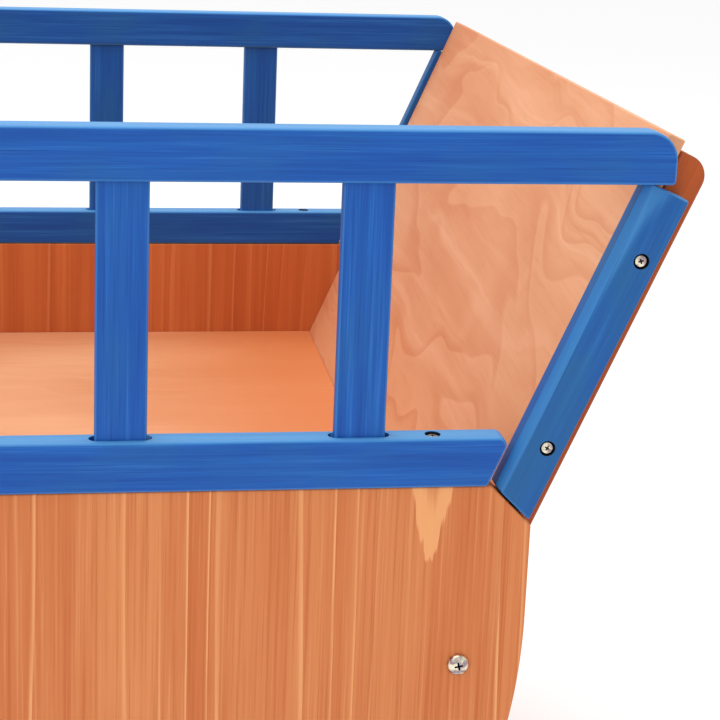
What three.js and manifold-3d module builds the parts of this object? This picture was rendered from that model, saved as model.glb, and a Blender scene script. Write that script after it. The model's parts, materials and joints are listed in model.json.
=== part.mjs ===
// A wooden pull-along wagon for children: a tub with vertical-grain sides, flared ends and blue
// spindle railings, on four tyred wheels with a steered front axle and a hinged pull handle.
// Millimetres, +Z up, +X towards the rear end, the ground at Z = 0.
import * as THREE from 'three';
import { mergeVertices } from 'three/addons/utils/BufferGeometryUtils.js';
import Module from 'manifold-3d';

const wasm = await Module();
wasm.setup();

// ---- driving dimensions: the tub ---------------------------------------------------------
const bodyWidth = 580;            // over the outer faces of the rails
const bodyLength = 680;           // between the end panels' inner faces, at the sides' top edge
const endLean = THREE.MathUtils.degToRad(23.1);
const sideTopHeight = 395;        // top edge of the side panels above the ground
const sideDepth = 190;            // height of the side panels
const sideOverrun = 16;           // side panels' ends past the end panels' inner faces
const cornerCut = 24;             // 45 degree cut of the side panels' upper corners
const cornerCurveWidth = 32;      // quarter ellipse of the side panels' lower corners
const cornerCurveHeight = 115;
const floorDrop = 78;             // floor's upper face below the sides' top edge
const floorThickness = 9;
const endPanelThickness = 10;
const endPanelRise = 195;         // end panels' upper inner edge above the sides' top edge
const battenThickness = 20;
const battenWidth = 40;
const battenShortfall = 6;        // battens stop this far below the end panel's top
const battenCornerRadius = 12;

// ---- driving dimensions: the railings ----------------------------------------------------
const railThickness = 16;
const bottomRailHeight = 28.5;
const topRailHeight = 29;
const railOpening = 141;          // clear height between the two rails
const railOverhang = 2;           // rails stand proud of the side panels' outer faces
const topRailOverrun = 11;        // top rail's end past the end panel's inner face, at its foot
const topRailCornerRadius = 16;
const bottomRailCornerRadius = 5;
const railScrewSetIn = 43;        // rail screws from the bottom rail's upper corners
const bottomRailGap = 6;          // bottom rail's end to the post
const postWidth = 25.5;
const postProud = 4;              // post's inner edge inside the end panel's inner face
const postCutDrop = 9;            // square end of the post starts this far below the top rail
const spindleCount = 5;
const spindleWidth = 28;
const spindleThickness = 8;
const spindleEndGap = 120;        // last spindle's centre to the post, at mid height
const mortiseDepth = 10;
const mortiseSpare = 3;           // slot longer than the spindle is wide, at each end
const screwRecessDiameter = 9;
const screwRecessDepth = 4;
const screwSetIn = 42;            // post screws from the post's lowest and highest points
const screwInBatten = 2;          // post screws' axes inside the batten's inner face

// ---- driving dimensions: under the floor -------------------------------------------------
const beamWidth = 60;
const beamHeight = 38;
const floorBearing = 14;          // length of the floor's ends that rests on the end beams
const sideBoltDiameter = 6;
const sideBoltHeadDiameter = 12.5;
const sideBoltHeadHeight = 3.6;
const sideBoltLength = 46;
const chassisRailWidth = 30;
const chassisRailHeight = 57;
const chassisRailSpacing = 240;   // between the rails' centre lines
const axleX = 270;                // axles in front of and behind the middle
const axleBoardThickness = 34;
const axleBoardWidth = 380;
const axleBoardFoot = 25;         // board under the axle's centre
const archWidth = 200;
const archTop = 30;               // top of the arch above the axle's centre
const bolsterLength = 70;
const bolsterHeight = 30;
const bolsterWidth = 340;
const turntableDiameter = 110;
const turntableThickness = 6;
const turntableGap = 0.4;
const kingBoltDiameter = 14;
const kingHeadDiameter = 24;
const kingHeadHeight = 8;
const nutGap = 1.5;               // nut to the crown of the arch

// ---- driving dimensions: wheels and handle -----------------------------------------------
const wheelDiameter = 190;
const tyreHeight = 20;
const tyreWidth = 40;
const rimWidth = 34;
const rimThickness = 7;
const webThickness = 10;
const hubDiameter = 40;
const hubLength = 48;
const axleDiameter = 12;
const washerGap = 3;              // hub to axle board, and hub to cap
const capDiameter = 26;
const capLength = 12;
const capSocket = 8;              // length of axle inside a cap
const bracketHeight = 44;
const bracketPlate = 4;
const bracketNose = 10;           // ears past the hinge pin
const earGap = 1;                 // between the handle and each ear
const pivotForward = 40;          // handle's hinge in front of the axle board
const pivotHeight = 130;
const pinDiameter = 10;
const pinHeadDiameter = 17;
const shaftWidth = 28;
const shaftHeight = 24;
const shaftLength = 580;          // hinge to grip
const gripEyeRadius = 21;
const gripDiameter = 25;
const gripLength = 170;

// ---- named clearances --------------------------------------------------------------------
const restGap = 0.3;              // pieces resting on one another
const slideFit = 0.2;             // spindles in their slots
const runningFit = 0.08;          // radial, shaft in a turning part
const boltFit = 0.3;              // radial, bolt in its hole
const tuckGap = 1.2;              // visible joint between post and side panel

const roundSteps = 24;            // facets of shafts and bores

// ---- finishes ----------------------------------------------------------------------------
function finish(name, color, roughness, metalness) {
  return new THREE.MeshStandardMaterial({ name, color, roughness, metalness });
}
const stainedPine = finish('stained_pine', 0xcf8052, 0.6, 0);
const stainedPly = finish('stained_plywood', 0xe09a70, 0.6, 0);
const darkBatten = finish('stained_batten', 0xa85230, 0.6, 0);
const blueStain = finish('blue_stained_pine', 0x2a62ac, 0.55, 0);
const zincSteel = finish('zinc_plated_steel', 0xc8cacc, 0.3, 1);
const blackSteel = finish('black_coated_steel', 0x26282b, 0.5, 0.6);
const wheelPlastic = finish('wheel_plastic', 0x2f5fa6, 0.45, 0);
const rubber = finish('tyre_rubber', 0x1d1d1e, 0.85, 0);

// ---- geometry helpers --------------------------------------------------------------------
// A plain indexed geometry with merged corners, turned so that its faces point outwards.
function closed(geometry) {
  const bare = geometry.clone();
  bare.deleteAttribute('normal');
  bare.deleteAttribute('uv');
  const merged = mergeVertices(bare, 1e-4);
  const place = merged.attributes.position;
  const index = Array.from(merged.index.array);
  const corner = [new THREE.Vector3(), new THREE.Vector3(), new THREE.Vector3()];
  const kept = [];
  let volume = 0;
  for (let i = 0; i < index.length; i += 3) {
    const [a, b, c] = [index[i], index[i + 1], index[i + 2]];
    if (a === b || b === c || c === a) continue;
    [a, b, c].forEach((vertex, k) => corner[k].fromBufferAttribute(place, vertex));
    volume += corner[0].dot(corner[1].cross(corner[2]));
    kept.push(a, b, c);
  }
  if (volume < 0) kept.reverse();
  merged.setIndex(kept);
  return merged;
}

function toManifold(geometry) {
  const shell = closed(geometry);
  const vertProperties = Float32Array.from(shell.attributes.position.array);
  const triVerts = Uint32Array.from(shell.index.array);
  return new wasm.Manifold(new wasm.Mesh({ numProp: 3, vertProperties, triVerts }));
}

function cut(geometry, tools) {
  let solid = toManifold(geometry);
  for (const tool of tools) solid = solid.subtract(toManifold(tool));
  const result = solid.getMesh();
  const out = new THREE.BufferGeometry();
  out.setAttribute('position', new THREE.BufferAttribute(Float32Array.from(result.vertProperties), 3));
  out.setIndex(new THREE.BufferAttribute(Uint32Array.from(result.triVerts), 1));
  return out;
}

function extrude(shape, depth, curveSegments = 8) {
  return new THREE.ExtrudeGeometry(shape, { depth, bevelEnabled: false, curveSegments });
}

// Outline in X and Z, standing between two planes of Y.
function acrossY(shape, y0, y1, curveSegments) {
  return extrude(shape, y1 - y0, curveSegments).rotateX(Math.PI / 2).translate(0, y1, 0);
}

// Outline in Y and Z, standing between two planes of X.
function acrossX(shape, x0, x1, curveSegments) {
  const turn = new THREE.Matrix4().makeBasis(
    new THREE.Vector3(0, 1, 0), new THREE.Vector3(0, 0, 1), new THREE.Vector3(1, 0, 0));
  return extrude(shape, x1 - x0, curveSegments).applyMatrix4(turn).translate(x0, 0, 0);
}

function polygon(points) {
  return new THREE.Shape(points.map(([u, v]) => new THREE.Vector2(u, v)));
}

function block(x0, x1, y0, y1, z0, z1) {
  const box = new THREE.BoxGeometry(x1 - x0, y1 - y0, z1 - z0);
  return box.translate((x0 + x1) / 2, (y0 + y1) / 2, (z0 + z1) / 2);
}

function rodY(radius, y0, y1, steps = roundSteps) {
  return new THREE.CylinderGeometry(radius, radius, y1 - y0, steps).translate(0, (y0 + y1) / 2, 0);
}

function rodZ(radius, z0, z1, steps = roundSteps) {
  const rod = new THREE.CylinderGeometry(radius, radius, z1 - z0, steps).rotateX(Math.PI / 2);
  return rod.translate(0, 0, (z0 + z1) / 2);
}

// Corner radius of a faceted bore whose flats clear a shaft of the given radius.
function boreRadius(shaftRadius, clearance, steps = roundSteps) {
  return (shaftRadius + clearance) / Math.cos(Math.PI / steps);
}

// A turned piece about the Y axis from [radius, y] points; a ring's profile closes on itself.
function turned(profile, steps = 32) {
  return new THREE.LatheGeometry(profile.map(([r, y]) => new THREE.Vector2(r, y)), steps);
}

function roundHole(x, y, radius) {
  return new THREE.Path().absarc(x, y, radius, 0, 2 * Math.PI, true);
}

// The shape seen in a mirror at X = 0.
function mirrored(shape, curveSegments = 8) {
  const flip = (points) => points.map((p) => new THREE.Vector2(-p.x, p.y)).reverse();
  const twin = new THREE.Shape(flip(shape.getPoints(curveSegments)));
  for (const hole of shape.holes) twin.holes.push(new THREE.Path(flip(hole.getPoints(curveSegments))));
  return twin;
}
const atEnd = (shape, end) => (end > 0 ? shape : mirrored(shape));

// ---- the assembly ------------------------------------------------------------------------
const wagon = new THREE.Group();
const tub = new THREE.Group();
const steering = new THREE.Group();
const handle = new THREE.Group();
wagon.add(tub, steering);
steering.add(handle);

function add(parent, name, geometry, material) {
  const mesh = new THREE.Mesh(closed(geometry), material);
  mesh.name = name;
  parent.add(mesh);
  return mesh;
}

const sides = [['left', -1], ['right', 1]];
const ends = [['front', -1], ['rear', 1]];

// ---- places worked out from the driving dimensions ---------------------------------------
const slope = Math.tan(endLean);
const endFoot = bodyLength / 2;
const railFace = bodyWidth / 2;
const panelOuter = railFace - railOverhang;
const panelInner = railFace - railThickness;   // rails, posts and side panels are flush inside
const sideThickness = panelOuter - panelInner;
const endPanelHalf = panelInner - restGap;
const sideEnd = endFoot + sideOverrun;
const sideBottom = sideTopHeight - sideDepth;
const floorTop = sideTopHeight - floorDrop;
const floorBottom = floorTop - floorThickness;
const topRailFoot = sideTopHeight + bottomRailHeight + railOpening;
const beamTop = floorBottom;
const beamBottom = beamTop - beamHeight;
const chassisBottom = beamBottom - chassisRailHeight;
const axleHeight = wheelDiameter / 2;

// X of the plane that stands off the end panel's inner face by offset, at height z.
const leanX = (offset, z) => endFoot + slope * (z - sideTopHeight) + offset / Math.cos(endLean);

// The end beams carry the floor's ends, the end panels and the battens.
const floorReach = (z) => leanX(0, z) - restGap;
const beamX = floorReach(floorBottom) - floorBearing + beamWidth / 2;

// The square-cut top of a leaning piece: both its corners, the inner one at height z.
function squareTop(inner, outer, z) {
  const drop = (outer - inner) * Math.sin(endLean);
  return [[leanX(inner, z), z], [leanX(outer, z - drop), z - drop]];
}

// ---- tub ---------------------------------------------------------------------------------
const floorOutline = polygon([
  [-floorReach(floorBottom), floorBottom], [floorReach(floorBottom), floorBottom],
  [floorReach(floorTop), floorTop], [-floorReach(floorTop), floorTop]]);
add(tub, 'floor_board', acrossY(floorOutline, -endPanelHalf, endPanelHalf), stainedPly);

// Side panel: 45 degree cuts above, quarter ellipses below, holes for the four side bolts.
function sidePanelShape() {
  const shape = new THREE.Shape();
  const curveTop = sideBottom + cornerCurveHeight;
  shape.moveTo(-sideEnd + cornerCurveWidth, sideBottom);
  shape.lineTo(sideEnd - cornerCurveWidth, sideBottom);
  shape.absellipse(sideEnd - cornerCurveWidth, curveTop, cornerCurveWidth, cornerCurveHeight,
    -Math.PI / 2, 0, false);
  shape.lineTo(sideEnd, sideTopHeight - cornerCut);
  shape.lineTo(sideEnd - cornerCut, sideTopHeight);
  shape.lineTo(-sideEnd + cornerCut, sideTopHeight);
  shape.lineTo(-sideEnd, sideTopHeight - cornerCut);
  shape.lineTo(-sideEnd, curveTop);
  shape.absellipse(-sideEnd + cornerCurveWidth, curveTop, cornerCurveWidth, cornerCurveHeight,
    Math.PI, 1.5 * Math.PI, false);
  const holeRadius = boreRadius(sideBoltDiameter / 2, boltFit);
  const holeZ = (beamTop + beamBottom) / 2;
  for (const [, end] of ends) shape.holes.push(roundHole(end * beamX, holeZ, holeRadius));
  return shape;
}
for (const [sideName, side] of sides) {
  const near = Math.min(side * panelInner, side * panelOuter);
  const panel = acrossY(sidePanelShape(), near, near + sideThickness, 12);
  add(tub, `side_panel_${sideName}`, panel, stainedPine);
}

// Flared ends: a plywood panel from the beam to above the top rails, and two battens behind it.
const leanFoot = beamTop + restGap;
const panelTop = sideTopHeight + endPanelRise;
const endPanelShape = polygon([
  [leanX(0, leanFoot), leanFoot], [leanX(endPanelThickness, leanFoot), leanFoot],
  ...squareTop(0, endPanelThickness, panelTop).reverse()]);
const battenInner = endPanelThickness + restGap;
const battenOuter = battenInner + battenThickness;
const battenTop = panelTop - battenInner * Math.sin(endLean) - battenShortfall * Math.cos(endLean);

function battenShape() {
  const [innerTop, outerTop] = squareTop(battenInner, battenOuter, battenTop);
  const radius = battenCornerRadius;
  const along = [Math.sin(endLean), Math.cos(endLean)];
  const shape = new THREE.Shape();
  shape.moveTo(leanX(battenInner, leanFoot), leanFoot);
  shape.lineTo(leanX(battenOuter, leanFoot), leanFoot);
  const centre = [
    outerTop[0] - radius * along[0] - radius * along[1],
    outerTop[1] - radius * along[1] + radius * along[0]];
  shape.absarc(centre[0], centre[1], radius, -endLean, Math.PI / 2 - endLean, false);
  shape.lineTo(innerTop[0], innerTop[1]);
  return shape;
}

for (const [endName, end] of ends) {
  const panel = acrossY(atEnd(endPanelShape, end), -endPanelHalf, endPanelHalf);
  add(tub, `end_panel_${endName}`, panel, stainedPly);
  for (const [sideName, side] of sides) {
    const near = side > 0 ? endPanelHalf - battenWidth : -endPanelHalf;
    const batten = acrossY(atEnd(battenShape(), end), near, near + battenWidth);
    add(tub, `end_batten_${endName}_${sideName}`, batten, darkBatten);
  }
}

// ---- railings ----------------------------------------------------------------------------
// Corner post: leans with the end panel, cut square at the top and parallel to the side panel's
// corner at the foot, with two screw recesses in its outer face.
const postInner = -postProud;
const postOuter = postInner + postWidth;
const postTop = topRailFoot - restGap;
const cornerLineX = (z) => sideEnd + sideTopHeight - cornerCut - z + tuckGap * Math.SQRT2;

// Height where the corner cut's line crosses the plane at an offset from the end panel.
function postFootZ(offset) {
  const reach = cornerLineX(0) - endFoot - offset / Math.cos(endLean) + slope * sideTopHeight;
  return reach / (1 + slope);
}

function postShape() {
  const squareFoot = topRailFoot - postCutDrop;
  const stepBack = (postTop - squareFoot) / slope;
  const outerX = leanX(postOuter, squareFoot);
  return polygon([
    [leanX(postInner, postFootZ(postInner)), postFootZ(postInner)],
    [leanX(postOuter, postFootZ(postOuter)), postFootZ(postOuter)],
    [outerX, squareFoot],
    [Math.max(outerX - stepBack, leanX(postInner, postTop)), postTop],
    [leanX(postInner, postTop) - restGap, postTop]]);
}

const screwHeights = [postFootZ(postOuter) + screwSetIn, postTop - screwSetIn];
const screwOffset = battenInner + screwInBatten;

for (const [endName, end] of ends) {
  for (const [sideName, side] of sides) {
    const near = Math.min(side * panelOuter, side * panelInner);
    const post = acrossY(atEnd(postShape(), end), near, near + sideThickness);
    const recesses = screwHeights.map((z) => {
      const y = side * (panelOuter - screwRecessDepth);
      const tool = rodY(screwRecessDiameter / 2, Math.min(y, side * railFace),
        Math.max(y, side * railFace), 16);
      return tool.translate(end * leanX(screwOffset, z), 0, z);
    });
    add(tub, `corner_post_${endName}_${sideName}`, cut(post, recesses), blueStain);
  }
}

// Spindles stand in round-ended slots of the bottom rail and the top rail.
const openingMiddle = sideTopHeight + bottomRailHeight + railOpening / 2;
const lastSpindle = leanX(postInner, openingMiddle) - spindleEndGap;
const spindleX = (i) => lastSpindle * (2 * i / (spindleCount - 1) - 1);
const spindleY = railFace - railThickness / 2;

function slotTool(x, y, z0, z1) {
  const half = spindleWidth / 2 + mortiseSpare;
  const radius = spindleThickness / 2 + slideFit;
  const slot = new THREE.Shape();
  slot.absarc(half - radius, 0, radius, -Math.PI / 2, Math.PI / 2, false);
  slot.absarc(radius - half, 0, radius, Math.PI / 2, 1.5 * Math.PI, false);
  return extrude(slot, z1 - z0, 5).translate(x, y, z0);
}

function slots(side, z0, z1) {
  const tools = [];
  for (let i = 0; i < spindleCount; i += 1) tools.push(slotTool(spindleX(i), side * spindleY, z0, z1));
  return tools;
}

const bottomRailTop = sideTopHeight + bottomRailHeight;
const bottomRailEnd = (z) => leanX(postInner, z) - bottomRailGap;

function bottomRailShape() {
  const radius = bottomRailCornerRadius;
  const centre = bottomRailEnd(bottomRailTop) - radius / Math.tan(Math.PI / 4 - endLean / 2);
  const shape = new THREE.Shape();
  shape.moveTo(-bottomRailEnd(sideTopHeight), sideTopHeight);
  shape.lineTo(bottomRailEnd(sideTopHeight), sideTopHeight);
  shape.absarc(centre, bottomRailTop - radius, radius, -endLean, Math.PI / 2, false);
  shape.absarc(-centre, bottomRailTop - radius, radius, Math.PI / 2, Math.PI + endLean, false);
  return shape;
}

const topRailTop = topRailFoot + topRailHeight;
const topRailEnd = leanX(0, topRailFoot) + topRailOverrun;

function topRailShape() {
  const radius = topRailCornerRadius;
  const centre = topRailEnd - radius;
  const shape = new THREE.Shape();
  shape.moveTo(-topRailEnd, topRailFoot);
  shape.lineTo(topRailEnd, topRailFoot);
  shape.absarc(centre, topRailTop - radius, radius, 0, Math.PI / 2, false);
  shape.absarc(-centre, topRailTop - radius, radius, Math.PI / 2, Math.PI, false);
  return shape;
}

for (const [sideName, side] of sides) {
  const near = Math.min(side * railFace, side * (railFace - railThickness));
  const bottomRail = acrossY(bottomRailShape(), near, near + railThickness);
  const topRail = acrossY(topRailShape(), near, near + railThickness);
  const lowSlots = slots(side, bottomRailTop - mortiseDepth, bottomRailTop + 1);
  const recesses = ends.map(([, end]) => rodZ(screwRecessDiameter / 2,
    bottomRailTop - screwRecessDepth, bottomRailTop + 1, 16)
    .translate(end * (bottomRailEnd(bottomRailTop) - railScrewSetIn), side * spindleY, 0));
  const highSlots = slots(side, topRailFoot - 1, topRailFoot + mortiseDepth);
  add(tub, `bottom_rail_${sideName}`, cut(bottomRail, [...lowSlots, ...recesses]), blueStain);
  add(tub, `top_rail_${sideName}`, cut(topRail, highSlots), blueStain);
  for (let i = 0; i < spindleCount; i += 1) {
    const x = spindleX(i);
    const y = side * spindleY;
    const spindle = block(x - spindleWidth / 2, x + spindleWidth / 2,
      y - spindleThickness / 2, y + spindleThickness / 2,
      bottomRailTop - mortiseDepth + restGap, topRailFoot + mortiseDepth - restGap);
    add(tub, `spindle_${sideName}_${i + 1}`, spindle, blueStain);
  }
}

// ---- under the floor ---------------------------------------------------------------------
const boltZ = (beamTop + beamBottom) / 2;
const boltReach = panelOuter - sideBoltLength;

function sideBolt(side) {
  const r = sideBoltDiameter / 2;
  const head = sideBoltHeadDiameter / 2;
  const crown = panelOuter + sideBoltHeadHeight;
  const profile = [
    [0, boltReach], [r, boltReach], [r, panelOuter], [head, panelOuter],
    [head * 0.97, crown - sideBoltHeadHeight * 0.45], [head * 0.62, crown - sideBoltHeadHeight * 0.1],
    [0, crown]];
  return turned(profile.map(([radius, y]) => [radius, side * y]), 16);
}

const reach = panelInner - restGap;
add(tub, 'cross_beam_middle',
  block(-beamWidth / 2, beamWidth / 2, -reach, reach, beamBottom, beamTop), stainedPine);
for (const [endName, end] of ends) {
  const x = end * beamX;
  const beam = block(x - beamWidth / 2, x + beamWidth / 2, -reach, reach, beamBottom, beamTop);
  const holeRadius = boreRadius(sideBoltDiameter / 2, boltFit, 16);
  const holes = sides.map(([, side]) => {
    const inner = side * (boltReach - 1);
    const outer = side * panelOuter;
    return rodY(holeRadius, Math.min(inner, outer), Math.max(inner, outer), 16).translate(x, 0, boltZ);
  });
  add(tub, `cross_beam_${endName}`, cut(beam, holes), stainedPine);
  for (const [sideName, side] of sides) {
    add(tub, `side_bolt_${endName}_${sideName}`, sideBolt(side).translate(x, 0, boltZ), zincSteel);
  }
}

const chassisEnd = beamX + beamWidth / 2;
for (const [sideName, side] of sides) {
  const y = side * chassisRailSpacing / 2;
  const rail = block(-chassisEnd, chassisEnd, y - chassisRailWidth / 2, y + chassisRailWidth / 2,
    chassisBottom, beamBottom);
  add(tub, `chassis_rail_${sideName}`, rail, stainedPine);
}

// Axle board: a plank on edge, arched below, bored for the axle.
const boardFoot = axleHeight - axleBoardFoot;
function axleBoard(top) {
  const half = axleBoardWidth / 2;
  const shape = new THREE.Shape();
  shape.moveTo(-half, boardFoot);
  shape.lineTo(-archWidth / 2, boardFoot);
  shape.absellipse(0, boardFoot, archWidth / 2, axleBoardFoot + archTop, Math.PI, 0, true);
  shape.lineTo(half, boardFoot);
  shape.lineTo(half, top);
  shape.lineTo(-half, top);
  return acrossX(shape, -axleBoardThickness / 2, axleBoardThickness / 2, 16);
}
const axleBore = rodY(boreRadius(axleDiameter / 2, boltFit), -axleBoardWidth, axleBoardWidth)
  .translate(0, 0, axleHeight);

const hubInner = axleBoardWidth / 2 + washerGap;
const wheelY = hubInner + hubLength / 2;
const capInner = hubInner + hubLength + washerGap;
const axleEnd = capInner + capSocket;
const axleRod = () => rodY(axleDiameter / 2, -axleEnd, axleEnd).translate(0, 0, axleHeight);

add(tub, 'rear_axle_board', cut(axleBoard(chassisBottom), [axleBore]).translate(axleX, 0, 0),
  stainedPine);
add(tub, 'rear_axle_rod', axleRod().translate(axleX, 0, 0), zincSteel);

// Front: a bolster under the chassis rails, and the steered axle board with its turntable plate.
const bolsterBottom = chassisBottom - bolsterHeight;
const plateTop = bolsterBottom - turntableGap;
const plateBottom = plateTop - turntableThickness;
const kingRadius = kingBoltDiameter / 2;

const bolsterPlan = polygon([
  [-bolsterLength / 2, -bolsterWidth / 2], [bolsterLength / 2, -bolsterWidth / 2],
  [bolsterLength / 2, bolsterWidth / 2], [-bolsterLength / 2, bolsterWidth / 2]]);
bolsterPlan.holes.push(roundHole(0, 0, boreRadius(kingRadius, boltFit)));
const bolster = extrude(bolsterPlan, bolsterHeight, roundSteps).translate(-axleX, 0, bolsterBottom);
add(tub, 'front_bolster', bolster, stainedPine);

const plateBore = boreRadius(kingRadius, runningFit);
const plateRim = turntableDiameter / 2;
const turntable = turned([
  [plateBore, plateBottom], [plateRim, plateBottom], [plateRim, plateTop], [plateBore, plateTop],
  [plateBore, plateBottom]], roundSteps);
add(steering, 'turntable_plate', turntable.rotateX(Math.PI / 2).translate(-axleX, 0, 0), blackSteel);

const nutTop = axleHeight + archTop - nutGap;
const nutHeight = kingBoltDiameter * 0.8;
const kingEnd = nutTop - nutHeight - 3;
const kingProfile = [
  [0, kingEnd], [kingRadius, kingEnd], [kingRadius, chassisBottom], [kingHeadDiameter / 2, chassisBottom],
  [kingHeadDiameter / 2, chassisBottom + kingHeadHeight], [0, chassisBottom + kingHeadHeight]];
const kingBolt = turned(kingProfile, roundSteps).rotateX(Math.PI / 2).translate(-axleX, 0, 0);
add(tub, 'king_bolt', kingBolt, zincSteel);

const hexagon = new THREE.Shape();
for (let i = 0; i < 6; i += 1) {
  const turn = i * Math.PI / 3;
  const corner = [Math.cos(turn), Math.sin(turn)].map((v) => v * kingHeadDiameter / 2);
  if (i === 0) hexagon.moveTo(...corner);
  else hexagon.lineTo(...corner);
}
hexagon.holes.push(roundHole(0, 0, boreRadius(kingRadius, runningFit)));
const nut = extrude(hexagon, nutHeight, roundSteps).translate(-axleX, 0, nutTop - nutHeight);
add(tub, 'king_nut', nut, zincSteel);

const kingBore = rodZ(boreRadius(kingRadius, runningFit), boardFoot, plateBottom + 1);
add(steering, 'front_axle_board',
  cut(axleBoard(plateBottom), [axleBore, kingBore]).translate(-axleX, 0, 0), stainedPine);
add(steering, 'front_axle_rod', axleRod().translate(-axleX, 0, 0), zincSteel);

// ---- wheels ------------------------------------------------------------------------------
const wheelSteps = 32;
const rimRadius = wheelDiameter / 2 - tyreHeight;

function wheelBody() {
  const bore = boreRadius(axleDiameter / 2, runningFit, wheelSteps);
  const rimInner = rimRadius - rimThickness;
  const half = [
    [bore, hubLength / 2], [hubDiameter / 2, hubLength / 2], [hubDiameter / 2, webThickness / 2],
    [rimInner, webThickness / 2], [rimInner, rimWidth / 2], [rimRadius, rimWidth / 2]];
  const back = half.map(([r, y]) => [r, -y]).reverse();
  return turned([...half, ...back, half[0]], wheelSteps);
}

// The tread's flats, not its corners, lie at the wheel's radius, with one flat downwards.
function tyreBody() {
  const flat = 1 / Math.cos(Math.PI / wheelSteps);
  const seat = rimRadius + restGap;
  const tread = wheelDiameter / 2 * flat;
  const half = [
    [seat, rimWidth / 2], [seat + tyreHeight * 0.2, tyreWidth / 2],
    [tread - tyreHeight * 0.3, tyreWidth / 2], [tread - tyreHeight * 0.08, tyreWidth * 0.38],
    [tread, tyreWidth * 0.22]];
  const back = half.map(([r, y]) => [r, -y]).reverse();
  return turned([...half, ...back, half[0]], wheelSteps);
}

function axleCap(side) {
  const socket = boreRadius(axleDiameter / 2, boltFit / 3);
  const outer = capInner + capLength;
  const profile = [
    [socket, capInner], [capDiameter / 2, capInner], [capDiameter / 2, outer - 3],
    [capDiameter / 2 - 3, outer], [0, outer], [0, axleEnd + restGap], [socket, axleEnd + restGap],
    [socket, capInner]];
  return turned(profile.map(([r, y]) => [r, side * y]), roundSteps);
}

for (const [endName, end] of ends) {
  const parent = end > 0 ? tub : steering;
  for (const [sideName, side] of sides) {
    const wheel = new THREE.Group();
    wheel.position.set(end * axleX, side * wheelY, axleHeight);
    wheel.rotation.y = Math.PI / wheelSteps;
    parent.add(wheel);
    add(wheel, `wheel_${endName}_${sideName}`, wheelBody(), wheelPlastic);
    add(wheel, `tyre_${endName}_${sideName}`, tyreBody(), rubber);
    const cap = axleCap(side).translate(end * axleX, 0, axleHeight);
    add(parent, `axle_cap_${endName}_${sideName}`, cap, blackSteel);
  }
}

// ---- pull handle -------------------------------------------------------------------------
const boardFace = -axleX - axleBoardThickness / 2;
const earInner = shaftWidth / 2 + earGap;
const earOuter = earInner + bracketPlate;
const pinRadius = pinDiameter / 2;
const hinge = new THREE.Vector3(boardFace - pivotForward, 0, pivotHeight);

const bracketPlan = polygon([
  [0, -earOuter], [0, earOuter], [-pivotForward - bracketNose, earOuter],
  [-pivotForward - bracketNose, earInner], [-bracketPlate, earInner], [-bracketPlate, -earInner],
  [-pivotForward - bracketNose, -earInner], [-pivotForward - bracketNose, -earOuter]]);
const bracket = extrude(bracketPlan, bracketHeight)
  .translate(boardFace, 0, pivotHeight - bracketHeight / 2);
const bracketBore = rodY(boreRadius(pinRadius, runningFit), -2 * earOuter, 2 * earOuter)
  .translate(hinge.x, 0, hinge.z);
add(steering, 'drawbar_bracket', cut(bracket, [bracketBore]), blackSteel);

const pinSeat = earOuter + restGap;
const pinHalf = [
  [0, pinSeat + bracketPlate], [pinHeadDiameter / 2, pinSeat + bracketPlate],
  [pinHeadDiameter / 2, pinSeat], [pinRadius, pinSeat]];
const pin = turned([...pinHalf, ...pinHalf.map(([r, y]) => [r, -y]).reverse()], roundSteps);
add(steering, 'drawbar_pin', pin.translate(hinge.x, 0, hinge.z), zincSteel);

// At rest the handle slopes down from its hinge until the eye round the grip is on the ground.
handle.position.copy(hinge);
handle.rotation.y = -Math.asin((pivotHeight - gripEyeRadius) / shaftLength);

function shaftShape() {
  const half = shaftHeight / 2;
  const spread = Math.asin(half / gripEyeRadius);
  const shape = new THREE.Shape();
  shape.absarc(0, 0, half, -Math.PI / 2, Math.PI / 2, false);
  shape.absarc(-shaftLength, 0, gripEyeRadius, spread, 2 * Math.PI - spread, false);
  shape.holes.push(roundHole(0, 0, boreRadius(pinRadius, runningFit)));
  shape.holes.push(roundHole(-shaftLength, 0, boreRadius(gripDiameter / 2, boltFit / 3)));
  return shape;
}
add(handle, 'drawbar_shaft', acrossY(shaftShape(), -shaftWidth / 2, shaftWidth / 2, roundSteps),
  stainedPine);

const gripHalf = gripLength / 2;
const grip = turned([
  [0, -gripHalf], [gripDiameter / 2 - 3, -gripHalf], [gripDiameter / 2, 3 - gripHalf],
  [gripDiameter / 2, gripHalf - 3], [gripDiameter / 2 - 3, gripHalf], [0, gripHalf]], roundSteps);
add(handle, 'grip_bar', grip.translate(-shaftLength, 0, 0), blueStain);

// ---- the frame: origin on the ground under the middle of the whole wagon -----------------
wagon.updateMatrixWorld(true);
const extent = new THREE.Box3().setFromObject(wagon, true);
wagon.position.x = -(extent.min.x + extent.max.x) / 2;
wagon.updateMatrixWorld(true);

export default wagon;
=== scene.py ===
# %% [markdown]
# # A wooden pull-along wagon
# The wagon is a tub of stained pine and plywood with blue railings, on four tyred wheels. Its
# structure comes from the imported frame. This lesson rounds over the sawn pieces, models the
# fasteners, wheels and handle, and gives every piece a wood, metal, plastic or rubber finish.

# %% Load the frame
import json
import math

import bpy
from mathutils import Matrix, Vector

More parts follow.
